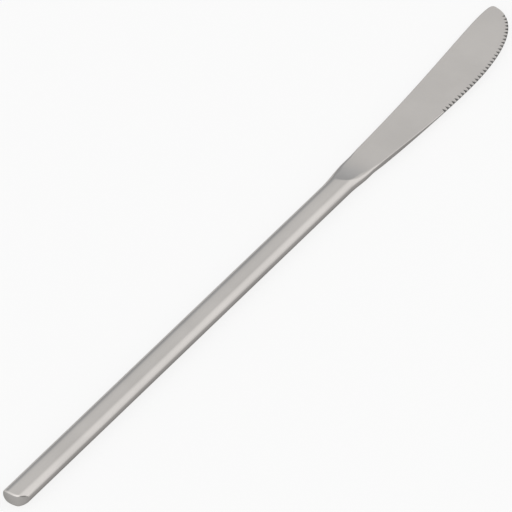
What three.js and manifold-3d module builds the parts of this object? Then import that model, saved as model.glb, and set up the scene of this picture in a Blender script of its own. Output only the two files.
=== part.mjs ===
// Slim all-steel table knife with a hollow handle, lying flat on its lower side.
// Millimetres, +Z up, +X from the butt to the tip, cutting edge towards -Y.
// The origin is on the resting surface, at the middle of the knife's length and width.
import * as THREE from 'three';
import { mergeVertices } from 'three/addons/utils/BufferGeometryUtils.js';
import Module from 'manifold-3d';

const wasm = await Module();
wasm.setup();

// Lengths along the knife, from the butt
const TOTAL_LENGTH = 235;
const HANDLE_LENGTH = 149.5;
const BOLSTER_LENGTH = 10;
const PLUG_LENGTH = 7;

// Handle section: a flat land on both broad faces, quarter ellipses down to the two seams
const HANDLE_WIDTH = 7.25;
const HANDLE_THICKNESS = 4.4;
const LAND_WIDTH = 2.6;
const SHELL_WALL = 0.55;
const SEAM_THICKNESS = 0.2;
const RING_THICKNESS = 0.2;

// Butt: round in plan about a centre nearer the spine, with an upright end and a softened rim.
// The corner on the edge's side is taken off at a slant
const BUTT_RADIUS = 8.4;
const BUTT_CENTRE_SHIFT = 0.975;
const BUTT_CORNER_START = 0.8;
const BUTT_CORNER_SOFT = 0.4;
const BUTT_CORNER_SLOPE = 0.7;
const BUTT_RIM_RADIUS = 0.65;
const PLUG_SPIGOT_LENGTH = 8;

// Inside the handle
const FIT_CLEARANCE = 0.15;
const BOLSTER_SPIGOT_LENGTH = 4;
const TANG_LENGTH = 62;
const TANG_WIDTH = 3.6;
const TANG_THICKNESS = 1.6;
const TANG_NOTCH_COUNT = 3;
const TANG_NOTCH_LENGTH = 4;
const TANG_NOTCH_DEPTH = 0.6;
const TANG_NOTCH_PITCH = 14;
const CEMENT_BEHIND_TANG = 8;

// Shoulder: the spine's side flares first and the edge's side later, while a wheel's arc thins the faces.
// The wheel leans towards the spine as it enters and comes upright towards the blade
const FLARE_LEAD = 5;
const HEEL_LENGTH = 10;
const SPINE_FLARE = 0.92;
const SPINE_FLARE_LENGTH = 12;
const EDGE_FLARE = 0.52;
const EDGE_FLARE_LENGTH = 7.5;
const HEEL_FADE = 12;
const GRIND_LENGTH = 13;
const GRIND_LEAN = 0.1;

// Blade thickness: at the end of the shoulder's grind, at the tip, and along the cutting edge
const BLADE_THICKNESS = 1.9;
const TIP_THICKNESS = 1.1;
const EDGE_THICKNESS = 0.5;
const EDGE_TAPER_LENGTH = 35;

// Blade outline, measured from the handle's axis and from the tip
const SPINE_RISE = 8.78;
const SPINE_PEAK_FROM_TIP = 5.65;
const TIP_RISE = 7.25;
const EDGE_DROP = 6.38;
const BELLY_FROM_TIP = 33.1;

// How far each outline curve keeps its end direction
const SPINE_HEEL_PULL = 33.5;
const SPINE_HEEL_SLOPE = 0.0214;
const SPINE_PEAK_PULL = 8.4;
const TIP_SPINE_PULL = 4.2;
const TIP_CORNER_PULL = 1.42;
const TIP_BELLY_PULL = 9.9;
const BELLY_PULL = 17.3;
const EDGE_BELLY_PULL = 16;
const EDGE_HEEL_PULL = 10;
const EDGE_HEEL_SLOPE = 0.08;

// Serration: grooves ground into the upper face, from behind the belly round to the tip
const TOOTH_PITCH = 1.446;
const TEETH_BEFORE_BELLY = 10.7;
const TEETH_SHORT_OF_TIP = 4.4;
const GROOVE_WIDTH = 0.95;
const GROOVE_REACH = 1.05;
const GROOVE_LIP = 0.12;

// Facets
const SECTION_STEPS = 10;
const RIM_STEPS = 4;
const BUTT_STEPS = 8;
const FLARE_STEPS = 12;
const GRIND_STEPS = 14;
const TAPER_STEPS = 14;
const CURVE_STEPS = 22;
const TIP_STEPS = 11;

// How far a cutting body runs past what it cuts
const BEYOND = 2;

// Sizes that follow from the ones above
const HALF_WIDTH = HANDLE_WIDTH / 2;
const HALF_HEIGHT = HANDLE_THICKNESS / 2;
const LAND_HALF = LAND_WIDTH / 2;
const SEAM_HALF = SEAM_THICKNESS / 2;
const BORE_HALF_WIDTH = HALF_WIDTH - SHELL_WALL;
const BORE_HALF_HEIGHT = HALF_HEIGHT - SHELL_WALL;
const INSIDE_HALF_WIDTH = BORE_HALF_WIDTH - FIT_CLEARANCE;
const SHELL_START = PLUG_LENGTH + RING_THICKNESS;
const BOLSTER_START = HANDLE_LENGTH - BOLSTER_LENGTH;
const SHELL_END = BOLSTER_START - RING_THICKNESS;
const SHELL_LENGTH = SHELL_END - SHELL_START;
const SPIGOT_START = BOLSTER_START - BOLSTER_SPIGOT_LENGTH;
const TANG_START = SPIGOT_START - TANG_LENGTH;
const CEMENT_START = TANG_START - CEMENT_BEHIND_TANG;
const FLARE_START = HANDLE_LENGTH - FLARE_LEAD;
const SPINE_FLARE_END = FLARE_START + SPINE_FLARE_LENGTH;
const EDGE_FLARE_END = HANDLE_LENGTH + EDGE_FLARE_LENGTH;
const HEEL_X = HANDLE_LENGTH + HEEL_LENGTH;
const HEEL_SPINE = HALF_WIDTH + SPINE_FLARE;
const HEEL_EDGE = HALF_WIDTH + EDGE_FLARE;
const BLADE_HALF = BLADE_THICKNESS / 2;
const TIP_HALF = TIP_THICKNESS / 2;
const EDGE_HALF = EDGE_THICKNESS / 2;
const GRIND_END = HANDLE_LENGTH + GRIND_LENGTH;
const GRIND_DROP = HALF_HEIGHT - BLADE_HALF;
const GRIND_RADIUS = (GRIND_LENGTH ** 2 + GRIND_DROP ** 2) / (2 * GRIND_DROP);
const EDGE_TAPER_RUN = Math.min(EDGE_TAPER_LENGTH, TOTAL_LENGTH - GRIND_END);
const GROOVE_DEPTH = EDGE_THICKNESS - GROOVE_LIP;
const GROOVE_ANGLE = Math.atan2(GROOVE_DEPTH, GROOVE_REACH);

// Points [y, z] of a section's upper half, from the +Y side over the land to the -Y side
function arch(plusSide, minusSide, halfHeight, landSteps = 1) {
  const plus = [];
  const minus = [];
  for (let i = 0; i <= SECTION_STEPS; i += 1) {
    const angle = (i / SECTION_STEPS) * (Math.PI / 2);
    const z = SEAM_HALF + (halfHeight - SEAM_HALF) * Math.sin(angle);
    plus.push([LAND_HALF + (plusSide - LAND_HALF) * Math.cos(angle), z]);
    minus.unshift([-LAND_HALF - (minusSide - LAND_HALF) * Math.cos(angle), z]);
  }
  for (let i = 1; i < landSteps; i += 1) {
    plus.push([LAND_HALF - (LAND_WIDTH * i) / landSteps, halfHeight]);
  }
  return plus.concat(minus);
}

// The same points with their mirror image below, as a closed loop
function loop(upper) {
  const lower = upper.map(([a, b]) => [a, -b]).reverse();
  return upper.concat(lower);
}

function shapeOf(points) {
  return new THREE.Shape(points.map(([a, b]) => new THREE.Vector2(a, b)));
}

function extrude(shape, depth) {
  return new THREE.ExtrudeGeometry(shape, { depth, bevelEnabled: false });
}

// A [y, z] outline carried along X
function prism(shape, start, end) {
  const along = new THREE.Vector3(1, 0, 0);
  const across = new THREE.Vector3(0, 1, 0);
  const up = new THREE.Vector3(0, 0, 1);
  const geometry = extrude(shape, end - start);
  geometry.applyMatrix4(new THREE.Matrix4().makeBasis(across, up, along));
  return geometry.translate(start, 0, 0);
}

// A [y, z] loop set across the knife at one place
function ringAt(x, points) {
  return points.map(([y, z]) => [x, y, z]);
}

// Rings of equal length, in order along X, joined into one closed skin
function skin(rings) {
  const count = rings[0].length;
  const index = [];
  for (let r = 0; r + 1 < rings.length; r += 1) {
    for (let i = 0; i < count; i += 1) {
      const j = (i + 1) % count;
      const a = r * count;
      const b = a + count;
      index.push(a + i, a + j, b + j, a + i, b + j, b + i);
    }
  }
  const last = (rings.length - 1) * count;
  for (let i = 0; i + 1 < count / 2; i += 1) {
    const j = count - 1 - i;
    index.push(i, j - 1, i + 1, i, j, j - 1);
    index.push(last + i, last + i + 1, last + j - 1, last + i, last + j - 1, last + j);
  }
  const geometry = new THREE.BufferGeometry();
  geometry.setAttribute('position', new THREE.Float32BufferAttribute(rings.flat(2), 3));
  geometry.setIndex(index);
  return geometry;
}

function solid(geometry) {
  const plain = geometry.clone();
  plain.deleteAttribute('normal');
  plain.deleteAttribute('uv');
  const merged = mergeVertices(plain, 1e-5);
  const vertProperties = new Float32Array(merged.attributes.position.array);
  const triVerts = new Uint32Array(merged.index.array);
  return new wasm.Manifold(new wasm.Mesh({ numProp: 3, vertProperties, triVerts }));
}

function geometryOf(body) {
  const mesh = body.getMesh();
  const position = new THREE.BufferAttribute(new Float32Array(mesh.vertProperties), 3);
  const geometry = new THREE.BufferGeometry();
  geometry.setAttribute('position', position);
  geometry.setIndex(new THREE.BufferAttribute(new Uint32Array(mesh.triVerts), 1));
  return geometry;
}

// Pressed shell: one half of the handle's section. The other half is the same, turned over
const outerArch = arch(HALF_WIDTH, HALF_WIDTH, HALF_HEIGHT);
const boreArch = arch(BORE_HALF_WIDTH, BORE_HALF_WIDTH, BORE_HALF_HEIGHT);
const shellOutline = outerArch.concat([...boreArch].reverse());
const shell = prism(shapeOf(shellOutline), 0, SHELL_LENGTH);

// Brazed seam: a thin strip between the shells' edges
const seam = new THREE.BoxGeometry(SHELL_LENGTH, SHELL_WALL, SEAM_THICKNESS);

// Brazed ring: the shells' section, closed, between the shells and a solid end piece
const ringOutline = shapeOf(loop(outerArch));
ringOutline.holes.push(shapeOf(loop(boreArch)));
const ring = prism(ringOutline, 0, RING_THICKNESS);

// What goes inside the shells bears on the bore's two lands and clears its rounded sides
const insideOutline = shapeOf(loop(arch(INSIDE_HALF_WIDTH, INSIDE_HALF_WIDTH, BORE_HALF_HEIGHT)));

// Butt plug: the handle's section behind an upright end that is round in plan, with a rounded rim
function buttEnd(y) {
  const round = BUTT_RADIUS - Math.sqrt(BUTT_RADIUS ** 2 - (y - BUTT_CENTRE_SHIFT) ** 2);
  const past = Math.max(-y - BUTT_CORNER_START, 0);
  return round + BUTT_CORNER_SLOPE * (Math.hypot(past, BUTT_CORNER_SOFT) - BUTT_CORNER_SOFT);
}

function makeButtPlug() {
  const rings = [];
  for (let i = 0; i <= RIM_STEPS; i += 1) {
    const angle = (i / RIM_STEPS) * (Math.PI / 2);
    const inset = BUTT_RIM_RADIUS * (1 - Math.sin(angle));
    const setback = BUTT_RIM_RADIUS * (1 - Math.cos(angle));
    const side = HALF_WIDTH - inset;
    const outline = loop(arch(side, side, HALF_HEIGHT - inset, BUTT_STEPS));
    rings.push(outline.map(([y, z]) => [buttEnd(y) + setback, y, z]));
  }
  rings.push(ringAt(PLUG_LENGTH, loop(arch(HALF_WIDTH, HALF_WIDTH, HALF_HEIGHT, BUTT_STEPS))));
  const spigotEnd = PLUG_LENGTH + PLUG_SPIGOT_LENGTH;
  const spigot = prism(insideOutline, PLUG_LENGTH - BEYOND, spigotEnd);
  return solid(skin(rings)).add(solid(spigot));
}

// Tang: a flat bar with a row of notches down both sides
function makeTang() {
  const half = TANG_WIDTH / 2;
  const notched = half - TANG_NOTCH_DEPTH;
  const row = (TANG_NOTCH_COUNT - 1) * TANG_NOTCH_PITCH + TANG_NOTCH_LENGTH;
  const first = TANG_START + (TANG_LENGTH - row) / 2;
  const side = [[TANG_START, half]];
  for (let i = 0; i < TANG_NOTCH_COUNT; i += 1) {
    const from = first + i * TANG_NOTCH_PITCH;
    const to = from + TANG_NOTCH_LENGTH;
    side.push([from, half], [from, notched], [to, notched], [to, half]);
  }
  side.push([BOLSTER_START, half]);
  const bar = extrude(shapeOf(loop(side)), TANG_THICKNESS);
  return solid(bar.translate(0, 0, -TANG_THICKNESS / 2));
}

// Cement: the filling round the tang, up to the bolster's spigot
function makeCement(tang) {
  return solid(prism(insideOutline, CEMENT_START, SPIGOT_START)).subtract(tang);
}

// Blank: the handle's rounded section, flaring to the heel and then clear of the blade's outline
function makeBlank() {
  const rings = [ringAt(BOLSTER_START, loop(outerArch))];
  for (let i = 0; i <= FLARE_STEPS; i += 1) {
    const x = FLARE_START + ((HEEL_X - FLARE_START) * i) / FLARE_STEPS;
    const spineShare = THREE.MathUtils.smoothstep(x, FLARE_START, SPINE_FLARE_END);
    const edgeShare = THREE.MathUtils.smoothstep(x, HANDLE_LENGTH, EDGE_FLARE_END);
    const spineSide = HALF_WIDTH + SPINE_FLARE * spineShare;
    const edgeSide = HALF_WIDTH + EDGE_FLARE * edgeShare;
    rings.push(ringAt(x, loop(arch(spineSide, edgeSide, HALF_HEIGHT))));
  }
  const clear = loop(arch(SPINE_RISE + BEYOND, EDGE_DROP + BEYOND, HALF_HEIGHT));
  rings.push(ringAt(HEEL_X + HEEL_FADE, clear));
  rings.push(ringAt(TOTAL_LENGTH + BEYOND, clear));
  return solid(skin(rings));
}

// Shoulder grind: a wheel's arc from the handle's land down to the blade's face, then a straight taper
const GRIND_ROWS = [SPINE_RISE + BEYOND, HEEL_SPINE, LAND_HALF, -LAND_HALF, -HEEL_EDGE, -EDGE_DROP - BEYOND];

function grindRing(x, height, lean) {
  return ringAt(x, loop(GRIND_ROWS.map((y) => [y, height - lean * y])));
}

function makeGrind() {
  const rings = [grindRing(BOLSTER_START - BEYOND, HALF_HEIGHT + BEYOND, 0)];
  for (let i = 0; i <= GRIND_STEPS; i += 1) {
    const back = (GRIND_LENGTH + BEYOND) * (1 - i / GRIND_STEPS);
    const height = BLADE_HALF + GRIND_RADIUS - Math.sqrt(GRIND_RADIUS ** 2 - back ** 2);
    rings.push(grindRing(GRIND_END - back, height, GRIND_LEAN * (back / GRIND_LENGTH) ** 2));
  }
  rings.push(grindRing(TOTAL_LENGTH, TIP_HALF, 0), grindRing(TOTAL_LENGTH + BEYOND, TIP_HALF, 0));
  return solid(skin(rings));
}

// Edge grind: both faces lean together from the spine to the cutting edge
function taperRing(x) {
  const share = (x - GRIND_END) / (TOTAL_LENGTH - GRIND_END);
  const run = Math.min((x - GRIND_END) / EDGE_TAPER_RUN, 1);
  const fade = (1 + Math.cos(Math.PI * run)) / 2;
  const spineHalf = BLADE_HALF + (TIP_HALF - BLADE_HALF) * share;
  const edgeHalf = EDGE_HALF + (BLADE_HALF - EDGE_HALF) * fade;
  const lean = (spineHalf - edgeHalf) / (SPINE_RISE + EDGE_DROP);
  const plus = [SPINE_RISE + BEYOND, spineHalf + lean * BEYOND];
  const minus = [-EDGE_DROP - BEYOND, edgeHalf - lean * BEYOND];
  return ringAt(x, loop([plus, minus]));
}

// Its rings follow the edge's thickness down and then run straight to the tip
function makeTaper() {
  const top = HALF_HEIGHT + BEYOND;
  const open = loop([[SPINE_RISE + BEYOND, top], [-EDGE_DROP - BEYOND, top]]);
  const rings = [ringAt(BOLSTER_START - BEYOND, open)];
  for (let i = 0; i <= TAPER_STEPS; i += 1) {
    rings.push(taperRing(GRIND_END + (EDGE_TAPER_RUN * i) / TAPER_STEPS));
  }
  rings.push(taperRing(TOTAL_LENGTH + BEYOND));
  return solid(skin(rings));
}

// Blade outline in plan: cutting edge, belly, tip and spine
function point(x, y) {
  return new THREE.Vector2(x, y);
}

const BELLY_X = TOTAL_LENGTH - BELLY_FROM_TIP;
const PEAK_X = TOTAL_LENGTH - SPINE_PEAK_FROM_TIP;
const edgeCurve = new THREE.CubicBezierCurve(
  point(HEEL_X, -HEEL_EDGE),
  point(HEEL_X + EDGE_HEEL_PULL, -HEEL_EDGE - EDGE_HEEL_PULL * EDGE_HEEL_SLOPE),
  point(BELLY_X - EDGE_BELLY_PULL, -EDGE_DROP),
  point(BELLY_X, -EDGE_DROP),
);
const bellyCurve = new THREE.CubicBezierCurve(
  point(BELLY_X, -EDGE_DROP),
  point(BELLY_X + BELLY_PULL, -EDGE_DROP),
  point(TOTAL_LENGTH, TIP_RISE - TIP_BELLY_PULL),
  point(TOTAL_LENGTH, TIP_RISE),
);
const tipCurve = new THREE.CubicBezierCurve(
  point(TOTAL_LENGTH, TIP_RISE),
  point(TOTAL_LENGTH, TIP_RISE + TIP_CORNER_PULL),
  point(PEAK_X + TIP_SPINE_PULL, SPINE_RISE),
  point(PEAK_X, SPINE_RISE),
);
const spineCurve = new THREE.CubicBezierCurve(
  point(PEAK_X, SPINE_RISE),
  point(PEAK_X - SPINE_PEAK_PULL, SPINE_RISE),
  point(HEEL_X + SPINE_HEEL_PULL, HEEL_SPINE + SPINE_HEEL_PULL * SPINE_HEEL_SLOPE),
  point(HEEL_X, HEEL_SPINE),
);

function makePlan() {
  const back = BOLSTER_START - BEYOND;
  const outline = [point(back, HEEL_SPINE), point(back, -HEEL_EDGE)];
  outline.push(...edgeCurve.getSpacedPoints(CURVE_STEPS));
  outline.push(...bellyCurve.getSpacedPoints(CURVE_STEPS).slice(1));
  outline.push(...tipCurve.getSpacedPoints(TIP_STEPS).slice(1));
  outline.push(...spineCurve.getSpacedPoints(CURVE_STEPS).slice(1));
  const top = HALF_HEIGHT + BEYOND;
  const body = extrude(new THREE.Shape(outline), 2 * top);
  return solid(body.translate(0, 0, -top));
}

// Serration groove: a pointed wheel's path, deepest at the very edge, running out on the upper face
const edgeLine = new THREE.CurvePath();
edgeLine.add(edgeCurve);
edgeLine.add(bellyCurve);

const CUTTER_HEIGHT = GROOVE_DEPTH + BEYOND;
const CUTTER_HALF = (GROOVE_WIDTH / 2) * (CUTTER_HEIGHT / GROOVE_DEPTH);
const cutterShape = shapeOf([[0, 0], [CUTTER_HALF, CUTTER_HEIGHT], [-CUTTER_HALF, CUTTER_HEIGHT]]);

function groove(distance) {
  const u = distance / edgeLine.getLength();
  const at = edgeLine.getPointAt(u);
  const ahead = edgeLine.getTangentAt(u);
  const behind = new THREE.Vector3(-ahead.x, -ahead.y, 0);
  const run = new THREE.Vector3(-ahead.y, ahead.x, Math.tan(GROOVE_ANGLE)).normalize();
  const rise = new THREE.Vector3().crossVectors(run, behind);
  const cutter = extrude(cutterShape, GROOVE_REACH + 2 * BEYOND);
  cutter.applyMatrix4(new THREE.Matrix4().makeBasis(behind, rise, run));
  const start = new THREE.Vector3(at.x, at.y, GROOVE_LIP - EDGE_HALF);
  start.addScaledVector(run, -BEYOND);
  return solid(cutter.translate(start.x, start.y, start.z));
}

// Blade: the ground blank with its teeth, and the spigot and tang that go into the handle
function makeBlade(tang) {
  let blade = makeBlank().intersect(makeGrind()).intersect(makeTaper()).intersect(makePlan());
  const firstTooth = edgeCurve.getLength() - TEETH_BEFORE_BELLY;
  const lastTooth = edgeLine.getLength() - TEETH_SHORT_OF_TIP;
  for (let along = firstTooth; along <= lastTooth; along += TOOTH_PITCH) {
    blade = blade.subtract(groove(along));
  }
  const spigot = prism(insideOutline, SPIGOT_START, BOLSTER_START + BEYOND);
  return blade.add(solid(spigot)).add(tang);
}

// Finishes
const polishedSteel = { color: 0xb9b5b1, roughness: 0.3, metalness: 1 };
const groundSteel = { color: 0xb5b1ad, roughness: 0.36, metalness: 1 };
const silverBraze = { color: 0xc0bbb0, roughness: 0.4, metalness: 1 };
const castCement = { color: 0x6f675c, roughness: 0.9, metalness: 0 };

// Assembly, placed from the butt along the handle's axis
const assembly = new THREE.Group();
assembly.position.set(-TOTAL_LENGTH / 2, (EDGE_DROP - SPINE_RISE) / 2, HALF_HEIGHT);

function place(name, geometry, finish, x = 0, y = 0) {
  const mesh = new THREE.Mesh(geometry, new THREE.MeshStandardMaterial(finish));
  mesh.name = name;
  mesh.position.set(x, y, 0);
  assembly.add(mesh);
  return mesh;
}

const tang = makeTang();
const seamX = (SHELL_START + SHELL_END) / 2;
const seamY = HALF_WIDTH - SHELL_WALL / 2;
place('blade', geometryOf(makeBlade(tang)), groundSteel);
place('upper_handle_shell', shell, polishedSteel, SHELL_START);
place('lower_handle_shell', shell, polishedSteel, SHELL_START).rotation.x = Math.PI;
place('butt_plug', geometryOf(makeButtPlug()), polishedSteel);
place('tang_cement', geometryOf(makeCement(tang)), castCement);
place('spine_seam_braze', seam, silverBraze, seamX, seamY);
place('edge_seam_braze', seam, silverBraze, seamX, -seamY);
place('bolster_braze_ring', ring, silverBraze, SHELL_END);
place('butt_braze_ring', ring, silverBraze, PLUG_LENGTH);

const knife = new THREE.Group();
knife.name = 'table_knife';
knife.add(assembly);

export default knife;
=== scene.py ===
# %% [markdown]
# # A slim steel table knife
#
# The knife lies flat on a pale table. Its handle is hollow: two pressed half shells are brazed
# together along both sides, a solid round plug closes the back, and the forged blade carries the
# bolster in front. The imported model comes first, because every piece below takes its place and most
# of its sizes from it.

# %% Load the frame
import bisect
import itertools
import math

import bmesh
import bpy
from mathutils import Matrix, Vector
from mathutils.geometry import interpolate_bezier


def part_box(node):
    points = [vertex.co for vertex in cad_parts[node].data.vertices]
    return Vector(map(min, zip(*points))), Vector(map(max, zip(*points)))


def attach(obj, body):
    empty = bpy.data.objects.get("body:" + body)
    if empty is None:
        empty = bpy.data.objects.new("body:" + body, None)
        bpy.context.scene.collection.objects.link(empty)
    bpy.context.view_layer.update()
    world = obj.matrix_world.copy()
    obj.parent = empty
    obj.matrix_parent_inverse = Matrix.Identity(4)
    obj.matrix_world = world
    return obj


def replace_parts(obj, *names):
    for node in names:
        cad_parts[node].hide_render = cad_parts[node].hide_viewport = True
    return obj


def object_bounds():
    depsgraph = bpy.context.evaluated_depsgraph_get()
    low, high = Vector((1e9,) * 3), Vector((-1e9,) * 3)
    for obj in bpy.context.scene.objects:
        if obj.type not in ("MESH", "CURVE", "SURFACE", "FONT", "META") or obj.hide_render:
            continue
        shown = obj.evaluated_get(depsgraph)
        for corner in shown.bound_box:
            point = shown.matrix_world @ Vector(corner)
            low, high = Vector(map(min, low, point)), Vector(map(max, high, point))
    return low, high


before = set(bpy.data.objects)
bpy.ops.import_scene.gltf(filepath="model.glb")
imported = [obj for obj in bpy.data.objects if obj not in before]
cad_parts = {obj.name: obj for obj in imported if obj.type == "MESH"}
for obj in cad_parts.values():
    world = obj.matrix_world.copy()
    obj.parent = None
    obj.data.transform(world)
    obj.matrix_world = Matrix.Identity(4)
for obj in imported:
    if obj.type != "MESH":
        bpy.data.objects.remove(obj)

MM = 0.001
scene = bpy.context.scene
scene.view_settings.view_transform = "Standard"
cad_low, cad_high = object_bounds()
print("pieces in the frame:", sorted(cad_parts))
print("whole knife, mm:", [round(size / MM, 2) for size in cad_high - cad_low])

# %% [markdown]
# ## The camera
#
# The picture looks down on the knife from behind the butt, half way between level and straight
# down, through a long lens, so that the far tip is hardly smaller than the near butt. A camera
# could be placed by eye, but an angle, a height and a distance from one aimed point are easier to
# reason about, and they stay readable as numbers.

# %% Camera
VIEW_TURN, VIEW_RAISE = math.radians(-53.4912), math.radians(45.0)
VIEW_DISTANCE = 1.8
VIEW_OFF_CENTRE = Vector((-4.6624, 1.282, 0.0)) * MM
LENS_LENGTH, FILM_WIDTH = 457.04, 36.0


def pointing(turn, rise):
    level = math.cos(rise)
    return Vector((math.sin(turn) * level, -math.cos(turn) * level, math.sin(rise)))


def add_object(name, data):
    thing = bpy.data.objects.new(name, data)
    scene.collection.objects.link(thing)
    return thing


to_camera = pointing(VIEW_TURN, VIEW_RAISE)
long_lens = bpy.data.cameras.new("long_lens")
long_lens.lens, long_lens.sensor_width = LENS_LENGTH, FILM_WIDTH
camera = add_object("camera", long_lens)
camera.location = (cad_low + cad_high) / 2 + VIEW_OFF_CENTRE + to_camera * VIEW_DISTANCE
camera.rotation_euler = to_camera.to_track_quat("Z", "Y").to_euler()
scene.camera = camera
print("camera stands at, m:", [round(c, 3) for c in camera.location])

# %% [markdown]
# ## Small helpers for node graphs
#
# Light and metal are both described with nodes here. Four short helpers keep the graphs readable:
# one fills a socket with a value or a link, one adds a node and fills its sockets by name, one does
# arithmetic, and one maps a range of values onto another.

# %% Node helpers
def feed(tree, socket, value):
    if isinstance(value, bpy.types.NodeSocket):
        tree.links.new(value, socket)
    else:
        socket.default_value = value


def put(tree, kind, label, **sockets):
    node = tree.nodes.new("ShaderNode" + kind)
    node.label = label
    for name, value in sockets.items():
        feed(tree, node.inputs[name], value)
    return node


def reckon(tree, operation, *values):
    node = put(tree, "Math", operation.lower())
    node.operation = operation
    for socket, value in zip(node.inputs, values):
        feed(tree, socket, value)
    return node.outputs["Value"]


def span(tree, value, start, end, to_start, to_end, ease=True):
    node = put(tree, "MapRange", "span")
    node.interpolation_type = "SMOOTHSTEP" if ease else "LINEAR"
    for name, number in (("Value", value), ("From Min", start), ("From Max", end),
                         ("To Min", to_start), ("To Max", to_end)):
        feed(tree, node.inputs[name], number)
    return node.outputs["Result"]


print("node helpers ready")

# %% [markdown]
# ## The light tent
#
# Polished steel has almost no colour of its own: it shows the room. Small shiny things are
# photographed in a white tent, bright behind the camera and at both sides, and dimmer on the far
# wall. Lamps would give hard spots on such a mirror, so the tent is the world itself: its
# brightness depends on how far a direction points to the far wall, which is also a shade cooler
# than the rest. The level is set by the table: a white card on it should look white and no
# brighter.

# %% Tent
TENT_STRENGTH = 1.3
TENT_WALL = (  # how far a direction points to the far wall, and the brightness there
    (-1.0, 1.3), (-0.42, 1.3), (-0.27, 0.92), (-0.19, 0.88), (-0.1, 0.91), (0.03, 0.925),
    (0.16, 0.905), (0.34, 0.83), (0.46, 0.67), (0.6, 0.655), (0.69, 0.715), (0.768, 0.585),
    (0.807, 0.57), (0.845, 0.505), (0.9, 0.46), (0.967, 0.434), (1.0, 0.42),
)
FAR_WALL_TURN, FAR_WALL_STARTS = math.radians(50), 0.8
FAR_WALL_TONE, CLOTH_TONE = (0.945, 0.972, 1.0), (1, 1, 1)
ANY_PLACE = 0.5

tent = bpy.data.worlds.new("light_tent")
tent.use_nodes = True
scene.world = tent
sky = tent.node_tree
far_wall = Vector((math.cos(FAR_WALL_TURN), math.sin(FAR_WALL_TURN), 0.0))
direction = put(sky, "TexCoord", "direction").outputs["Generated"]


def leaning(towards):
    node = put(sky, "VectorMath", "leaning")
    node.operation = "DOT_PRODUCT"
    feed(sky, node.inputs[0], direction)
    feed(sky, node.inputs[1], towards)
    return node.outputs["Value"]


to_far_wall = span(sky, leaning(far_wall), -1, 1, 0, 1, ease=False)
tent_wall = put(sky, "ValToRGB", "tent wall", Fac=to_far_wall)
stops = tent_wall.color_ramp.elements
while len(stops) < len(TENT_WALL):
    stops.new(ANY_PLACE)
for stop, (lean, brightness) in zip(stops, TENT_WALL):
    tone = FAR_WALL_TONE if lean > FAR_WALL_STARTS else CLOTH_TONE
    stop.position = (lean + 1) / 2
    stop.color = (*(part * brightness / TENT_STRENGTH for part in tone), 1)
print("tent stops:", len(stops), "far wall points to", [round(c, 2) for c in far_wall])

# %% [markdown]
# ### The gap in the cloth
#
# The cloth is open to one side of the lens and lower down, where a hand reaches in, and a polished
# corner that is turned that way shows the gap as a small dark spot. The gap is round, and its edge
# is soft: the light fades with the angle to its middle.

# %% Gap in the cloth
GAP_TURN, GAP_RAISE = math.radians(-6.0), math.radians(21.0)
GAP_OUTSIDE, GAP_INSIDE = math.cos(math.radians(29)), math.cos(math.radians(20))
GAP_STRENGTH = 0.25
to_gap = leaning(pointing(GAP_TURN, GAP_RAISE))
tent_light = span(sky, to_gap, GAP_OUTSIDE, GAP_INSIDE, TENT_STRENGTH, GAP_STRENGTH)
cloth = sky.nodes["Background"]
feed(sky, cloth.inputs["Color"], tent_wall.outputs["Color"])
feed(sky, cloth.inputs["Strength"], tent_light)
print("gap half width, degrees:", round(math.degrees(math.acos(GAP_OUTSIDE))))

# %% [markdown]
# ## The table
#
# The floor is only the stage, so it is a wide disc of matt card. It lies a tenth of a millimetre
# under the knife, because two faces in the same plane would flicker against each other.

# %% Table
TABLE_RADIUS, TABLE_SIDES, TABLE_GAP = 5.0, 96, 0.1 * MM


def to_mesh(name, shape):
    mesh = bpy.data.meshes.new(name)
    shape.to_mesh(mesh)
    shape.free()
    return mesh


disc = bmesh.new()
bmesh.ops.create_circle(disc, cap_ends=True, segments=TABLE_SIDES, radius=TABLE_RADIUS)
table = add_object("table", to_mesh("table", disc))
table.location.z = cad_low.z - TABLE_GAP
print("table top at, mm:", round(table.location.z / MM, 2))

# %% [markdown]
# ### White card
#
# A photograph on white is made with the card lit from behind as well, which fills most of the
# shadow. Here the card is a quarter matt paper and the rest an even white. The white is shown only
# to the camera, in mirrors and through glass, so it casts no light of its own on matt things, and
# the matt quarter still takes the shadow.

# %% White card
WHITE_SHARE, PAPER_ROUGHNESS, PAPER_SHINE = 0.75, 0.95, 0.1
FIBRE_SCALE, FIBRE_DETAIL = 40.0, 2.0
CARD_DARK, CARD_LIGHT = (0.955, 0.955, 0.952, 1), (0.975, 0.975, 0.972, 1)


def new_finish(name):
    finish = bpy.data.materials.new(name)
    finish.use_nodes = True
    return finish, finish.node_tree, finish.node_tree.nodes["Principled BSDF"]


def two_tones(tree, label, share, dark, light):
    ramp = put(tree, "ValToRGB", label, Fac=share)
    for stop, colour in zip(ramp.color_ramp.elements, (dark, light)):
        stop.color = colour
    return ramp.outputs["Color"]


matt_card, card, paper = new_finish("matt_card")
paper.inputs["Roughness"].default_value = PAPER_ROUGHNESS
paper.inputs["Specular IOR Level"].default_value = PAPER_SHINE
fibre = put(card, "TexNoise", "card fibre", Scale=FIBRE_SCALE, Detail=FIBRE_DETAIL).outputs[0]
card_tone = two_tones(card, "card tone", fibre, CARD_DARK, CARD_LIGHT)
feed(card, paper.inputs["Base Color"], card_tone)

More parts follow.
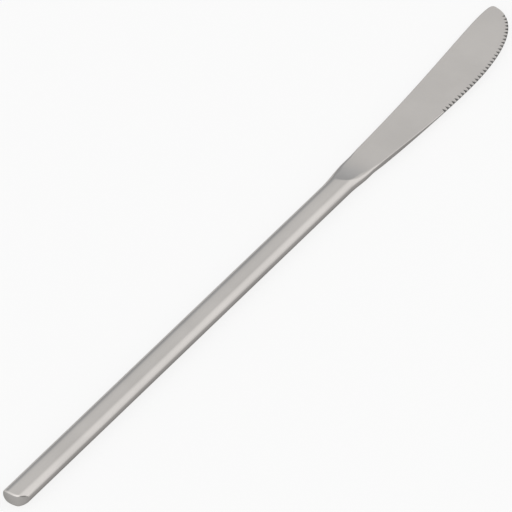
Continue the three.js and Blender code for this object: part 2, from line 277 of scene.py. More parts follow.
path = put(card, "LightPath", "who is looking").outputs
seen = reckon(card, "MAXIMUM", path["Is Camera Ray"], path["Is Glossy Ray"])
seen = reckon(card, "MAXIMUM", seen, path["Is Transmission Ray"])
even_white = put(card, "Emission", "even white", Strength=1.0)
white_seen = reckon(card, "MULTIPLY", seen, WHITE_SHARE)
mixed = put(card, "MixShader", "paper and white", Fac=white_seen)
feed(card, mixed.inputs[1], paper.outputs["BSDF"])
feed(card, mixed.inputs[2], even_white.outputs["Emission"])
feed(card, card.nodes["Material Output"].inputs["Surface"], mixed.outputs["Shader"])
table.data.materials.append(matt_card)
print("card finish:", matt_card.name)

# %% [markdown]
# ## Steel
#
# Every outside surface is stainless steel, polished with a mop and then dulled a little by use. Up
# close that means three things: fine lines in the direction of polishing, a faint cloudy haze, and
# sides that the mop reached less well, duller than the faces. The sides are also coloured darker
# than the faces: that is painted shade, standing in for the shadowed table that they mirror. A
# noise that is stretched along one axis gives the lines. They feed roughness and bump, and not the
# colour, because scratches in bare metal change how it reflects and not what it is made of. The
# direction in which a surface faces tells faces, sides and ends apart, so nothing has to be picked
# out by hand. Steel also mirrors less at a steep slant than an ideal metal does: the slant tint
# keeps the far side of the handle dark up to its outline.

# %% Steel recipe
SIDE_STARTS, SIDE_FULL, END_STARTS, END_FULL = 0.75, 0.3, 0.3, 0.85
SLANT_TINT = (0.42, 0.42, 0.42, 1)
LINE_DETAIL, LINE_ROUGHNESS, LINES_DULL, LINE_HEIGHT = 4.0, 0.6, 0.14, 0.004 * MM
HAZE_SCALE, HAZE_DETAIL, HAZE_DULLS = 85.0, 3.0, 0.16
HAZE_THIN, HAZE_THICK, HAZE_DARK, HAZE_LIGHT = 0.3, 0.7, 0.965, 1.03
NOISE_MIDDLE = 0.5


def blend(tree, label, share, first, second):
    node = put(tree, "Mix", label)
    node.data_type = "RGBA"
    colour_sockets = (node.inputs[0], node.inputs[6], node.inputs[7])
    for socket, value in zip(colour_sockets, (share, first, second)):
        feed(tree, socket, value)
    return node.outputs[2]


def swayed(tree, value, noise, share):
    off_middle = reckon(tree, "SUBTRACT", noise, NOISE_MIDDLE)
    return reckon(tree, "MULTIPLY_ADD", off_middle, share, value)


def steel(name, face, side, end, roughness, side_roughness, lines):
    finish, tree, metal = new_finish(name)
    metal.inputs["Metallic"].default_value = 1.0
    metal.inputs["Specular Tint"].default_value = SLANT_TINT
    knife = put(tree, "TexCoord", "place on the knife").outputs
    place = knife["Object"]
    along = put(tree, "Mapping", "direction of polishing", Vector=place, Scale=lines).outputs[0]
    line = put(tree, "TexNoise", "polishing lines", Vector=along, Scale=1.0,
               Detail=LINE_DETAIL, Roughness=LINE_ROUGHNESS).outputs[0]
    haze = put(tree, "TexNoise", "haze", Vector=place, Scale=HAZE_SCALE,
               Detail=HAZE_DETAIL).outputs[0]
    facing = put(tree, "SeparateXYZ", "facing", Vector=knife["Normal"]).outputs
    # The side mask darkens the sides' colour as painted shade and also makes them duller.
    on_side_shaded_and_dull = span(tree, reckon(tree, "ABSOLUTE", facing["Z"]), SIDE_FULL, SIDE_STARTS, 1, 0)
    # The end mask picks out the butt's end face for its painted shade.
    on_end_painted_shade = span(tree, reckon(tree, "ABSOLUTE", facing["X"]), END_STARTS, END_FULL, 0, 1)

    # The side and end tones blended in here are painted shade, darker than the face.
    side_and_end_painted_shade = blend(tree, "side to end", on_end_painted_shade, (*side, 1), (*end, 1))
    tone = blend(tree, "face to side", on_side_shaded_and_dull, (*face, 1), side_and_end_painted_shade)
    cloud = span(tree, haze, HAZE_THIN, HAZE_THICK, HAZE_DARK, HAZE_LIGHT)
    clouded = put(tree, "HueSaturation", "haze tone", Color=tone, Value=cloud)
    feed(tree, metal.inputs["Base Color"], clouded.outputs["Color"])

    dull = span(tree, on_side_shaded_and_dull, 0, 1, roughness, side_roughness)
    dull = swayed(tree, dull, haze, HAZE_DULLS)
    dull = swayed(tree, dull, line, LINES_DULL)
    feed(tree, metal.inputs["Roughness"], dull)
    relief = put(tree, "Bump", "line relief", Height=line, Strength=1.0, Distance=LINE_HEIGHT)
    feed(tree, metal.inputs["Normal"], relief.outputs[0])
    return finish


print("lines are", round(LINE_HEIGHT / MM, 3), "mm high")

# %% [markdown]
# ### Four finishes
#
# One recipe makes them all. The handle was mopped lengthways and the blade was ground crossways: a
# small scale along an axis stretches the lines that way. The end of the butt gets a painted shade a
# little lighter than that of the sides. The cuts between the teeth, which no mop reaches, are dull,
# and their dark colour is painted shade for the shadow in these small hollows.

# %% Steel finishes
# The side tone is painted shade: a darker colour standing in for the shadowed table that the sides
# mirror.
FACE, SIDE_PAINTED_SHADE, END_PAINTED_SHADE = (0.727, 0.697, 0.67), (0.327, 0.312, 0.3), (0.4, 0.386, 0.373)
# The cut tone is painted shade for the shadow in the hollows of the teeth; the dullness is real
# grinding.
CUT_PAINTED_SHADE = (0.14, 0.137, 0.134)
MOPPED, GROUND, SIDE_DULL, CUT_DULL = 0.17, 0.18, 0.3, 0.4
LENGTHWAYS, CROSSWAYS, UPRIGHT = (30, 2600, 2600), (2600, 40, 2600), (2600, 2600, 300)
polished_steel = steel("polished_steel", FACE, SIDE_PAINTED_SHADE, SIDE_PAINTED_SHADE, MOPPED, SIDE_DULL, LENGTHWAYS)
ground_steel = steel("ground_steel", FACE, SIDE_PAINTED_SHADE, SIDE_PAINTED_SHADE, GROUND, SIDE_DULL, CROSSWAYS)
# The butt's end tone is painted shade, a little lighter than the sides' painted shade.
butt_steel = steel("butt_steel", FACE, SIDE_PAINTED_SHADE, END_PAINTED_SHADE, MOPPED, SIDE_DULL, LENGTHWAYS)
wheel_cut_shaded_steel = steel("wheel_cut_shaded_steel", CUT_PAINTED_SHADE, CUT_PAINTED_SHADE, CUT_PAINTED_SHADE, CUT_DULL, CUT_DULL, UPRIGHT)
finishes = (polished_steel, ground_steel, butt_steel, wheel_cut_shaded_steel)
print("steel finishes:", [finish.name for finish in finishes])

# %% [markdown]
# ## The handle's section
#
# From butt to bolster the handle has one section: a flat strip along the top and the bottom, which
# the knife lies on, and a rounded flank down to the joint on each side. Its sizes are read from the
# packed shells, so that a skin drawn here always meets its neighbours. Half of the section is drawn
# as a row of points from the spine side over the top to the edge side, and a whole section is that
# row and its mirror image below.

# %% Handle sizes from the frame
shell_low, shell_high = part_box("upper_handle_shell")
bed_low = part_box("lower_handle_shell")[0]
filling_low, filling_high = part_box("tang_cement")
AXIS_Y = (shell_low.y + shell_high.y) / 2
MIDDLE_Z = (bed_low.z + shell_high.z) / 2
HALF_WIDTH = (shell_high.y - shell_low.y) / 2
HALF_HEIGHT = shell_high.z - MIDDLE_Z
HALF_SEAM = shell_low.z - MIDDLE_Z
INSIDE_HALF_WIDTH = (filling_high.y - filling_low.y) / 2
BORE_HALF_HEIGHT = (filling_high.z - filling_low.z) / 2
BORE_HALF_WIDTH = HALF_WIDTH - (HALF_HEIGHT - BORE_HALF_HEIGHT)
print("half section, mm:", round(HALF_WIDTH / MM, 3), "by", round(HALF_HEIGHT / MM, 3))

# %% [markdown]
# ### Points of the section
#
# The mop has rounded the land by a few hundredths of a millimetre, too little to feel, but a mirror
# shows it: the far half of the land already turns to the dim wall. So the land is a very flat arch,
# and the flank below it is an ellipse that starts where the arch leaves off, a few degrees past the
# top. The bore was never polished and has neither.

# %% Section points
LAND_HALF, LAND_CROWN, FLANK_LEAD = 1.3 * MM, 0.032 * MM, math.radians(3.3)
FLANK_TOP = math.pi / 2 - FLANK_LEAD
FLANK_STEPS, LAND_STEPS = 24, 10


def evenly(start, end, steps):
    return [start + (end - start) * i / steps for i in range(steps + 1)]


def half_section(width, height, crown=LAND_CROWN, top=FLANK_TOP):
    reach = (width - LAND_HALF) / (1 - math.cos(top))
    rise = (height - crown - HALF_SEAM) / math.sin(top)
    turns = evenly(0, top, FLANK_STEPS)
    flank = [(width - reach * (1 - math.cos(a)), HALF_SEAM + rise * math.sin(a)) for a in turns]
    strip = [LAND_HALF * (1 - 2 * i / LAND_STEPS) for i in range(1, LAND_STEPS)]
    land = [(y, height - crown * (y / LAND_HALF) ** 2) for y in strip]
    return flank + land + [(-y, z) for y, z in reversed(flank)]


def mirrored(half):
    return half + [(y, -z) for y, z in reversed(half)]


def at(x, y, z):
    return Vector((x, AXIS_Y + y, MIDDLE_Z + z))


outside_half = half_section(HALF_WIDTH, HALF_HEIGHT)
bore_half = half_section(BORE_HALF_WIDTH, BORE_HALF_HEIGHT, crown=0.0, top=math.pi / 2)
neck_half = half_section(INSIDE_HALF_WIDTH, BORE_HALF_HEIGHT, crown=0.0, top=math.pi / 2)
print("points in a whole section:", len(mirrored(outside_half)))

# %% [markdown]
# ## Skins over rings
#
# All the long pieces are made the same way: rings of points, one after the other, with a skin of
# four-sided faces from ring to ring. A row of faces closes each end, or a single face where the end
# is flat. Extruding a curve would be shorter, but it can't change its section on the way, and the
# shoulder does. Edges that bend by more than a set angle are marked sharp, and all others shade
# smoothly.

# %% Skin helper
SHARP_ANGLE = math.radians(24)
SAME_POINT = 0.0001 * MM


def smooth(mesh):
    mesh.shade_smooth()
    mesh.set_sharp_from_angle(angle=SHARP_ANGLE)


def skin(name, rings, finish, closed=False, flat_ends=False):
    shell = bmesh.new()
    rows = [[shell.verts.new(p) for p in ring] for ring in rings]
    count = len(rows[0])
    for back, front in zip(rows, rows[1:] + (rows[:1] if closed else [])):
        for i in range(count):
            j = (i + 1) % count
            shell.faces.new((back[i], back[j], front[j], front[i]))
    for end in [] if closed else (rows[0], rows[-1]):
        if flat_ends:
            shell.faces.new(end)
            continue
        for i in range(count // 2 - 1):
            shell.faces.new((end[i], end[i + 1], end[count - 2 - i], end[count - 1 - i]))
    bmesh.ops.remove_doubles(shell, verts=shell.verts, dist=SAME_POINT)
    bmesh.ops.recalc_face_normals(shell, faces=shell.faces)
    mesh = to_mesh(name, shell)
    mesh.materials.append(finish)
    smooth(mesh)
    return add_object(name, mesh)


print("edges sharper than", round(math.degrees(SHARP_ANGLE)), "degrees stay sharp")

# %% [markdown]
# ## The two half shells
#
# Each shell is sheet steel pressed into a trough, little more than half a millimetre thick. It is
# drawn as a section with an outside and an inside and pulled along the handle. A solid bar would
# look the same from outside, but it wouldn't be the real piece, and the weight and the joint lines
# would be wrong.

# %% Half shells
SHELL_STEPS = 24


def half_shell(name, side):
    loop = outside_half + bore_half[::-1]
    rings = [[at(x, y, side * z) for y, z in loop]
             for x in evenly(shell_low.x, shell_high.x, SHELL_STEPS)]
    return skin(name, rings, polished_steel)


for name, side, node in (("upper_shell", 1, "upper_handle_shell"),
                         ("lower_shell", -1, "lower_handle_shell")):
    shell_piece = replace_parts(half_shell(name, side), node)
    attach(shell_piece, "root")
    print(name, "faces:", len(shell_piece.data.polygons))

# %% [markdown]
# ## The round butt
#
# The handle ends in a solid plug. Seen from above its end is an arc, and the corner on the edge's
# side is taken off at a slant. Seen from the side it stands upright, and a small rounded rim runs
# where the two meet. The rim is drawn as a row of slightly smaller sections that step back along a
# quarter circle. A bevel would need the edges picked out first, and this keeps the same points from
# the end to the spigot, which is the neck that goes into the shells.

# %% Butt plug
BUTT_RADIUS, BUTT_CENTRE = 8.4 * MM, 0.975 * MM
RIM_RADIUS, RIM_STEPS = 0.65 * MM, 10
CORNER_START, CORNER_SOFT, CORNER_SLOPE = 1.2 * MM, 0.8 * MM, 0.8
plug_low, plug_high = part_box("butt_plug")
plug_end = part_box("butt_braze_ring")[0].x


def butt_end(y):
    arc = BUTT_RADIUS - math.sqrt(BUTT_RADIUS ** 2 - (y - BUTT_CENTRE) ** 2)
    past = max(-y - CORNER_START, 0)
    return plug_low.x + arc + CORNER_SLOPE * (math.hypot(past, CORNER_SOFT) - CORNER_SOFT)


def butt_ring(turn):
    smaller, back = RIM_RADIUS * (1 - math.sin(turn)), RIM_RADIUS * (1 - math.cos(turn))
    ring = mirrored(half_section(HALF_WIDTH - smaller, HALF_HEIGHT - smaller))
    return [at(butt_end(y) + back, y, z) for y, z in ring]


body_section, neck_section = mirrored(outside_half), mirrored(neck_half)
butt_rings = [butt_ring(turn) for turn in evenly(0, math.pi / 2, RIM_STEPS)]
for x, section in ((plug_end, body_section), (plug_end, neck_section),
                   (plug_high.x, neck_section)):
    butt_rings.append([at(x, y, z) for y, z in section])
round_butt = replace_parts(skin("round_butt", butt_rings, butt_steel), "butt_plug")
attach(round_butt, "root")
print("round butt length, mm:", round((plug_high.x - plug_low.x) / MM, 2))

# %% [markdown]
# ## Places along the blade
#
# Seen from above, the forging widens in front of the bolster, first on the spine's side and then on
# the edge's. The blade rises gently along the spine and rounds a blunt tip into a full belly. The
# tip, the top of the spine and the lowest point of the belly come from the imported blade, and the
# rest are lengths from one place to the next.

# %% Places along the blade
BOLSTER_LENGTH, HEEL_LENGTH, GRIND_LENGTH = 10.0 * MM, 10.0 * MM, 13.0 * MM
SPINE_FLARE, EDGE_FLARE = 0.92 * MM, 0.52 * MM
FLARE_LEAD, SPINE_FLARE_LENGTH, EDGE_FLARE_LENGTH = 5.0 * MM, 12.0 * MM, 7.5 * MM
TIP_RISE, PEAK_BACK, BELLY_BACK = 7.25 * MM, 5.65 * MM, 33.1 * MM

blade_low, blade_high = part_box("blade")
BOLSTER_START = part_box("bolster_braze_ring")[1].x
SPIGOT_START = filling_high.x
HANDLE_END = BOLSTER_START + BOLSTER_LENGTH
HEEL_X, GRIND_END = HANDLE_END + HEEL_LENGTH, HANDLE_END + GRIND_LENGTH
FLARE_START, EDGE_FLARE_END = HANDLE_END - FLARE_LEAD, HANDLE_END + EDGE_FLARE_LENGTH
SPINE_FLARE_END = FLARE_START + SPINE_FLARE_LENGTH
TIP_X, SPINE_TOP, EDGE_LOW = blade_high.x, blade_high.y - AXIS_Y, blade_low.y - AXIS_Y
print("from heel to tip, mm:", round((TIP_X - HEEL_X) / MM, 2))

# %% [markdown]
# ### The outline
#
# Four smooth curves draw the outline, two for the edge and two for the spine. A curve leaves each
# of its ends towards a pull, given here in millimetres, and a longer pull keeps that direction for
# longer. Drawing it by hand in the viewport would be quicker, but these pulls can be measured and
# corrected one at a time.

# %% Outline
CURVE_STEPS = 160
HEEL_EDGE_PULL, BELLY_BACK_PULL = (10, -0.8), (-16, 0)
BELLY_FRONT_PULL, TIP_EDGE_PULL = (17.3, 0), (0, -9.9)
HEEL_SPINE_PULL, PEAK_BACK_PULL = (33.5, 0.717), (-8.4, 0)
PEAK_FRONT_PULL, TIP_SPINE_PULL = (4.2, 0), (0, 1.42)

heel_spine = Vector((HEEL_X, HALF_WIDTH + SPINE_FLARE))
heel_edge = Vector((HEEL_X, -HALF_WIDTH - EDGE_FLARE))
belly_point = Vector((TIP_X - BELLY_BACK, EDGE_LOW))
tip_point = Vector((TIP_X, TIP_RISE))
peak_point = Vector((TIP_X - PEAK_BACK, SPINE_TOP))


def curve(start, start_pull, end_pull, end):
    leaving, arriving = start + Vector(start_pull) * MM, end + Vector(end_pull) * MM
    return interpolate_bezier(start, leaving, arriving, end, CURVE_STEPS)


straight_edge = curve(heel_edge, HEEL_EDGE_PULL, BELLY_BACK_PULL, belly_point)
edge_line = straight_edge + curve(belly_point, BELLY_FRONT_PULL, TIP_EDGE_PULL, tip_point)[1:]
spine_line = curve(heel_spine, HEEL_SPINE_PULL, PEAK_BACK_PULL, peak_point)
spine_line += curve(peak_point, PEAK_FRONT_PULL, TIP_SPINE_PULL, tip_point)[1:]


def step_at(places, place):
    return min(max(bisect.bisect(places, place), 1), len(places) - 1)


def across(line, x):
    i = step_at([p.x for p in line], x)
    a, b = line[i - 1], line[i]
    return a.y + (b.y - a.y) * min(max((x - a.x) / (b.x - a.x), 0), 1)


belly_width = across(spine_line, belly_point.x) - EDGE_LOW
print("blade width at the belly, mm:", round(belly_width / MM, 2))

# %% [markdown]
# ## The blade's faces
#
# The blade is ground from the bar. A large wheel first hollows the shoulder, from the full height
# of the handle down to the thickness of the blade. It leans towards the spine as it enters, so its
# first line runs aslant over the land, and it comes upright on the way. From there the faces thin
# towards the tip and towards the edge. One function gives half of the thickness at any place, so
# every ring of points agrees with the next.

# %% Thickness
BLADE_HALF, TIP_HALF, EDGE_HALF, EDGE_THINS_IN = 0.95 * MM, 0.55 * MM, 0.25 * MM, 35.0 * MM
WHEEL_LEAN, WHEEL_LEAD = 0.1, 2.0 * MM
grind_depth = HALF_HEIGHT - BLADE_HALF
wheel_radius = (GRIND_LENGTH ** 2 + grind_depth ** 2) / (2 * grind_depth)


def half_thickness(x, y):
    if x <= GRIND_END:
        back = min(GRIND_END - x, GRIND_LENGTH + WHEEL_LEAD)
        hollow = BLADE_HALF + wheel_radius - math.sqrt(wheel_radius ** 2 - back ** 2)
        return min(hollow - WHEEL_LEAN * (back / GRIND_LENGTH) ** 2 * y, HALF_HEIGHT)
    at_spine = BLADE_HALF + (TIP_HALF - BLADE_HALF) * (x - GRIND_END) / (TIP_X - GRIND_END)
    thinned = min((x - GRIND_END) / EDGE_THINS_IN, 1)
    at_edge = EDGE_HALF + (BLADE_HALF - EDGE_HALF) * (1 + math.cos(math.pi * thinned)) / 2
    return at_edge + (at_spine - at_edge) * (y - EDGE_LOW) / (SPINE_TOP - EDGE_LOW)


print("grinding wheel radius, mm:", round(wheel_radius / MM, 1))

# %% [markdown]
# ## The forging
#
# Blade, shoulder, bolster, spigot and tang are one forging. Its ring has the same number of points
# as the handle's section, so the bolster runs on from the shells without a step. In front of the
# handle the wheel cuts the top off the rounded section: the flank keeps its curve up to the cut,
# and the cut face lies between. Past the heel the flank is what is left of that curve, and it
# shrinks to a fine rim.

# %% Sides and flanks of the forging
RIM_WIDTH, FLANK_DIES_IN = 0.1 * MM, 3.5 * MM
FLANK_RISE = (HALF_HEIGHT - LAND_CROWN - HALF_SEAM) / math.sin(FLANK_TOP)
CUT_TRIES = 6


def eased(x, start, end):
    u = min(max((x - start) / (end - start), 0), 1)
    return u * u * (3 - 2 * u)


def sides(x):
    if x > HEEL_X:
        return across(spine_line, x), across(edge_line, x)
    spine_side = HALF_WIDTH + SPINE_FLARE * eased(x, FLARE_START, SPINE_FLARE_END)
    return spine_side, -HALF_WIDTH - EDGE_FLARE * eased(x, HANDLE_END, EDGE_FLARE_END)


def face_height(x, y):
    arch = HALF_HEIGHT - LAND_CROWN * min(abs(y) / LAND_HALF, 1) ** 2
    return min(half_thickness(x, y), arch)


def flank_cut(x, side, outwards):
    start = min(x, HEEL_X)
    limit, turn = sides(start)[side], FLANK_TOP
    reach = (abs(limit) - LAND_HALF) / (1 - math.cos(FLANK_TOP))
    for _ in range(CUT_TRIES):
        height = half_thickness(start, limit - outwards * reach * (1 - math.cos(turn)))
        turn = min(math.asin(min((height - HALF_SEAM) / FLANK_RISE, 1)), FLANK_TOP)
    left = max(1 - (x - HEEL_X) / FLANK_DIES_IN, 0) if x > HEEL_X else 1
    return turn, RIM_WIDTH + (reach * (1 - math.cos(turn)) - RIM_WIDTH) * left


print("cut at the heel, degrees:", round(math.degrees(flank_cut(HEEL_X, 1, -1)[0]), 1))

# %% [markdown]
# ### The softened crease
#
# The mop rounds the crease between the flank and the hollow. The ring follows the flank to just
# short of the crease, bends over it on a short curve, and goes on along the face. Where there is no
# crease yet, on the bolster, the curve shrinks to almost nothing. Two limits keep the flanks of the
# narrow tip from crossing: each is a share of the whole width, one for a flank and one for a flank
# with its bend.

# %% Ring of the forging
CREASE_SOFT, LEAST_SOFT, MOST_OF_FLANK = 3.0 * MM, 0.02 * MM, 0.4
CREASE_STEPS, FACE_STRIP, BEND_REACH = 8, 0.08 * MM, 1.5
FLANK_LIMIT, BEND_LIMIT = 0.45, 0.49


def soft_flank(x, side, outwards):
    limits, (turn, width) = sides(x), flank_cut(x, side, outwards)
    limit, whole = limits[side], limits[0] - limits[1]
    width = min(width, FLANK_LIMIT * whole)
    crease = Vector((limit - outwards * width, face_height(x, limit - outwards * width)))
    soft = max(CREASE_SOFT * (1 - math.sin(turn) / math.sin(FLANK_TOP)), LEAST_SOFT)
    rise = crease.y - HALF_SEAM
    stop = turn * (1 - min(soft / (width + rise), MOST_OF_FLANK))
    flank = [Vector((limit - outwards * width * (1 - math.cos(a)) / (1 - math.cos(turn)),
                     HALF_SEAM + rise * math.sin(a) / math.sin(turn)))
             for a in evenly(0, stop, FLANK_STEPS - CREASE_STEPS)]
    inside = crease.x - outwards * min(soft, BEND_REACH * width, BEND_LIMIT * whole - width)
    landing = Vector((inside, face_height(x, inside)))
    bend = [flank[-1] * (1 - t) ** 2 + crease * 2 * t * (1 - t) + landing * t * t
            for t in evenly(0, 1, CREASE_STEPS)[1:]]
    return [tuple(p) for p in flank + bend], inside


def forging_ring(x):
    spine_flank, spine_inside = soft_flank(x, 0, 1)
    edge_flank, edge_inside = soft_flank(x, 1, -1)
    strip = min(FACE_STRIP, (spine_inside - edge_inside) / LAND_STEPS)
    rows = evenly(spine_inside - strip, edge_inside + strip, LAND_STEPS - 2)
    face = [(y, face_height(x, y)) for y in rows]
    return [at(x, y, z) for y, z in mirrored(spine_flank + face + edge_flank[::-1])]


print("points in a forging ring:", len(forging_ring(HEEL_X)))

# %% [markdown]
# ## The tang
#
# Behind the bolster a short spigot fits the mouth of the shells, and a flat tang with three pairs
# of notches reaches into the cement, which grips it there. The tang is a plain bar, drawn with the
# same number of points so that it grows out of the same skin. Its lowest points lie a hair above
# the middle, because they would otherwise meet their own mirror image. The walls of the notches
# lean a very little: upright ones would leave faces without any area where two rings lie in one
# plane.

# %% Tang
TANG_WIDTH, TANG_THICKNESS, TANG_HAIR = 3.6 * MM, 1.6 * MM, HALF_SEAM / 4
NOTCH_COUNT, NOTCH_LENGTH, NOTCH_DEPTH, NOTCH_PITCH = 3, 4.0 * MM, 0.6 * MM, 14.0 * MM
NOTCH_SLOPE = 0.05 * MM


def tang_ring(x, width):
    half, heights = width / 2, evenly(0, TANG_THICKNESS / 2, FLANK_STEPS)
    upright = [(half, z) for z in [TANG_HAIR] + heights[1:]]
    top = [(y, TANG_THICKNESS / 2) for y in evenly(half, -half, LAND_STEPS)[1:-1]]
    outline = upright + top + [(-y, z) for y, z in reversed(upright)]
    return [at(x, y, z) for y, z in mirrored(outline)]


notch_row = (NOTCH_COUNT - 1) * NOTCH_PITCH + NOTCH_LENGTH
first_notch = blade_low.x + (SPIGOT_START - blade_low.x - notch_row) / 2
tang_rings = [tang_ring(blade_low.x, TANG_WIDTH)]
for k in range(NOTCH_COUNT):
    start = first_notch + NOTCH_PITCH * k
    end = start + NOTCH_LENGTH
    places = (start - NOTCH_SLOPE, start, end, end + NOTCH_SLOPE)
    for x, depth in zip(places, (0, NOTCH_DEPTH, NOTCH_DEPTH, 0)):
        tang_rings.append(tang_ring(x, TANG_WIDTH - 2 * depth))
tang_rings.append(tang_ring(SPIGOT_START, TANG_WIDTH))
tang_rings += [[at(x, y, z) for y, z in neck_section] for x in (SPIGOT_START, BOLSTER_START)]
print("tang reaches back, mm:", round((SPIGOT_START - blade_low.x) / MM, 1))

# %% [markdown]
# ## Joining the forging
#
# The rings stand close together where the shape turns quickly, at the crest of the shoulder and
# round the tip, and further apart along the straight of the blade. The last one stops two
# thousandths of a millimetre short of the tip, where a ring would shrink to a line. The bolster is
# polished with the handle, and the rest keeps the finish of the wheel.

# %% Forging
CREST_BACK, CREST_FRONT, TIP_SHORT = 1.8 * MM, 2.4 * MM, 0.002 * MM
FLARE_STEPS, CREST_STEPS, SHOULDER_STEPS, BLADE_STEPS = 4, 14, 12, 84
crest_start, crest_end = HANDLE_END - CREST_BACK, HANDLE_END + CREST_FRONT
blade_length = TIP_X - TIP_SHORT - HEEL_X
stations = [BOLSTER_START]
stations += evenly(FLARE_START, crest_start, FLARE_STEPS)[:-1]
stations += evenly(crest_start, crest_end, CREST_STEPS)[:-1]
stations += evenly(crest_end, HEEL_X, SHOULDER_STEPS)[:-1]
stations += [HEEL_X + blade_length * math.sin(a) for a in evenly(0, math.pi / 2, BLADE_STEPS)]
forging_rings = tang_rings + [forging_ring(x) for x in stations]
forging = skin("forged_blade", forging_rings, ground_steel, flat_ends=True)
forging.data.materials.append(polished_steel)
for face in forging.data.polygons:
    face.material_index = 1 if face.center.x < HANDLE_END else 0
print("forging faces before the teeth:", len(forging.data.polygons))

# %% [markdown]
# ## The teeth
#
# The serration is ground into the upper face alone, by a pointed wheel that passes over the edge
# once for every tooth. Each pass is drawn as a small wedge of four points, deep at the edge and
# running out into the face, with a side on every three of them. The passes follow the edge at an
# even pitch, so the length of the edge is added up first.

# %% Wheel passes
TOOTH_PITCH, TEETH_BEFORE_BELLY, TEETH_SHORT_OF_TIP = 1.446 * MM, 10.7 * MM, 4.4 * MM
GROOVE_WIDTH, GROOVE_REACH, GROOVE_LIP = 0.95 * MM, 1.05 * MM, 0.12 * MM
WEDGE_OUT, WEDGE_UP = 0.2 * MM, 0.1 * MM

edge_run = [0.0]
for a, b in zip(edge_line, edge_line[1:]):
    edge_run.append(edge_run[-1] + (b - a).length)
belly_run = edge_run[len(straight_edge) - 1]


def wedge(run):
    i = step_at(edge_run, run)
    a, b = edge_line[i - 1], edge_line[i]
    here = a + (b - a) * (run - edge_run[i - 1]) / (edge_run[i] - edge_run[i - 1])
    along = (b - a).normalized()
    inwards = Vector((-along.y, along.x))
    half = half_thickness(here.x, here.y)
    depth = 2 * half - GROOVE_LIP
    slope = depth / GROOVE_REACH
    bottom, top = -half + GROOVE_LIP - WEDGE_OUT * slope, half + WEDGE_UP
    outer = here - inwards * WEDGE_OUT
    spread = (top - bottom) * GROOVE_WIDTH / 2 / depth
    inner = outer + inwards * (top - bottom) / slope
    left, right = outer + along * spread, outer - along * spread
    return [at(*outer, bottom), at(*left, top), at(*right, top), at(*inner, top)]


first, last = belly_run - TEETH_BEFORE_BELLY, edge_run[-1] - TEETH_SHORT_OF_TIP
tooth_runs = [first + TOOTH_PITCH * k for k in range(int((last - first) / TOOTH_PITCH) + 1)]
wheel = bmesh.new()
for run in tooth_runs:
    points = [wheel.verts.new(p) for p in wedge(run)]
    for corners in itertools.combinations(points, 3):
        wheel.faces.new(corners)
bmesh.ops.recalc_face_normals(wheel, faces=wheel.faces)
passes = add_object("wheel_passes", to_mesh("wheel_passes", wheel))
# The wedges' finish is dark painted shade for the hollows of the teeth.
passes.data.materials.append(wheel_cut_shaded_steel)
print("teeth:", len(tooth_runs))

# %% [markdown]
# ### Cutting the teeth
#
# One Boolean modifier takes all the wedges away together. Its manifold solver needs closed shapes,
# and both the forging and the wedges are closed. The wedges carry their own finish, whose dark
# colour is painted shade, and the modifier hands it on to the faces that they leave. The result is
# kept as a plain mesh, and the wedges are thrown away.

# %% Cut the teeth
grinding = forging.modifiers.new("teeth", "BOOLEAN")
grinding.operation, grinding.solver, grinding.object = "DIFFERENCE", "MANIFOLD", passes
grinding.material_mode = "TRANSFER"
evaluated = forging.evaluated_get(bpy.context.evaluated_depsgraph_get())
toothed = bpy.data.meshes.new_from_object(evaluated)
toothed.name = "forged_blade_toothed"
forging.modifiers.clear()
forging.data = toothed
smooth(toothed)
bpy.data.objects.remove(passes)
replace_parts(forging, "blade")
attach(forging, "root")
print("forging faces with teeth:", len(toothed.polygons))
print("finishes on it:", [finish.name for finish in toothed.materials])

# %% [markdown]
# ## The brazed joints
#
# Silver braze fills the joints: a strip along each side between the two shells, and a thin ring at
# each end of them. All of it was polished together with the steel, so it shows as hardly more than
# a breath of a warmer tone. The strips keep their imported shape. The rings are drawn again, because
# they must follow the rounded land of their neighbours: each is a small skin that closes on itself,
# out along the outside and back along the bore.

# %% Braze
# The braze side tone is painted shade, like the darker sides of the steel.
BRAZE_FACE, BRAZE_SIDE_PAINTED_SHADE = (0.731, 0.7, 0.669), (0.329, 0.313, 0.299)
BRAZE_MOPPED = 0.175
silver_braze = steel("silver_braze", BRAZE_FACE, BRAZE_SIDE_PAINTED_SHADE, BRAZE_SIDE_PAINTED_SHADE,
                     BRAZE_MOPPED, SIDE_DULL, LENGTHWAYS)


def refinish(node, finish):
    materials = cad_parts[node].data.materials
    materials.clear()
    materials.append(finish)


for node in ("spine_seam_braze", "edge_seam_braze"):
    refinish(node, silver_braze)

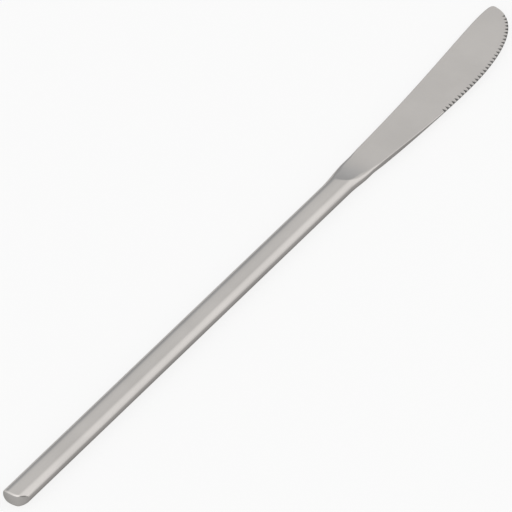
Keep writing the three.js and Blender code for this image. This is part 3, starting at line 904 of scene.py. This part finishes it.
for name, node in (("front_ring", "bolster_braze_ring"), ("back_ring", "butt_braze_ring")):
    ring_low, ring_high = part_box(node)
    back, front = ring_low.x, ring_high.x
    way = ((back, outside_half), (front, outside_half), (front, bore_half), (back, bore_half))
    loops = [[at(x, y, z) for y, z in mirrored(half)] for x, half in way]
    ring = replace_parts(skin(name, loops, silver_braze, closed=True), node)
    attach(ring, "root")
    print(name, "thickness, mm:", round((front - back) / MM, 2))

# %% [markdown]
# ## The cement
#
# The filling in the handle is never seen, but it is a real piece, so it gets its own finish: grey
# and grainy, with small pores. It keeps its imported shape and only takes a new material.

# %% Cement
GRIT_SCALE, GRIT_DETAIL, GRIT_ROUGHNESS, PORE_SCALE = 1800.0, 5.0, 0.7, 900.0
CEMENT_DARK, CEMENT_LIGHT = (0.33, 0.305, 0.27, 1), (0.53, 0.50, 0.45, 1)
GRIT_FINE, GRIT_COARSE, DULL_LEAST, DULL_MOST = 0.2, 0.8, 0.78, 0.95
PORE_BOTTOM, PORE_RIM, PORE_STRENGTH, PORE_DEPTH = 0.1, 0.35, 0.6, 0.08 * MM

cast_cement, mix, paste = new_finish("cast_cement")
inside_place = put(mix, "TexCoord", "place in the handle").outputs["Object"]
grit = put(mix, "TexNoise", "grit", Vector=inside_place, Scale=GRIT_SCALE,
           Detail=GRIT_DETAIL, Roughness=GRIT_ROUGHNESS).outputs[0]
pores = put(mix, "TexVoronoi", "pores", Vector=inside_place, Scale=PORE_SCALE)
shade = two_tones(mix, "cement tone", grit, CEMENT_DARK, CEMENT_LIGHT)
feed(mix, paste.inputs["Base Color"], shade)
cement_dull = span(mix, grit, GRIT_FINE, GRIT_COARSE, DULL_LEAST, DULL_MOST)
feed(mix, paste.inputs["Roughness"], cement_dull)
pore_shape = span(mix, pores.outputs["Distance"], PORE_BOTTOM, PORE_RIM, 0, 1)
rough_face = put(mix, "Bump", "pore relief", Height=pore_shape,
                 Strength=PORE_STRENGTH, Distance=PORE_DEPTH)
feed(mix, paste.inputs["Normal"], rough_face.outputs[0])
refinish("tang_cement", cast_cement)
print("cement length, mm:", round((filling_high.x - filling_low.x) / MM, 1))
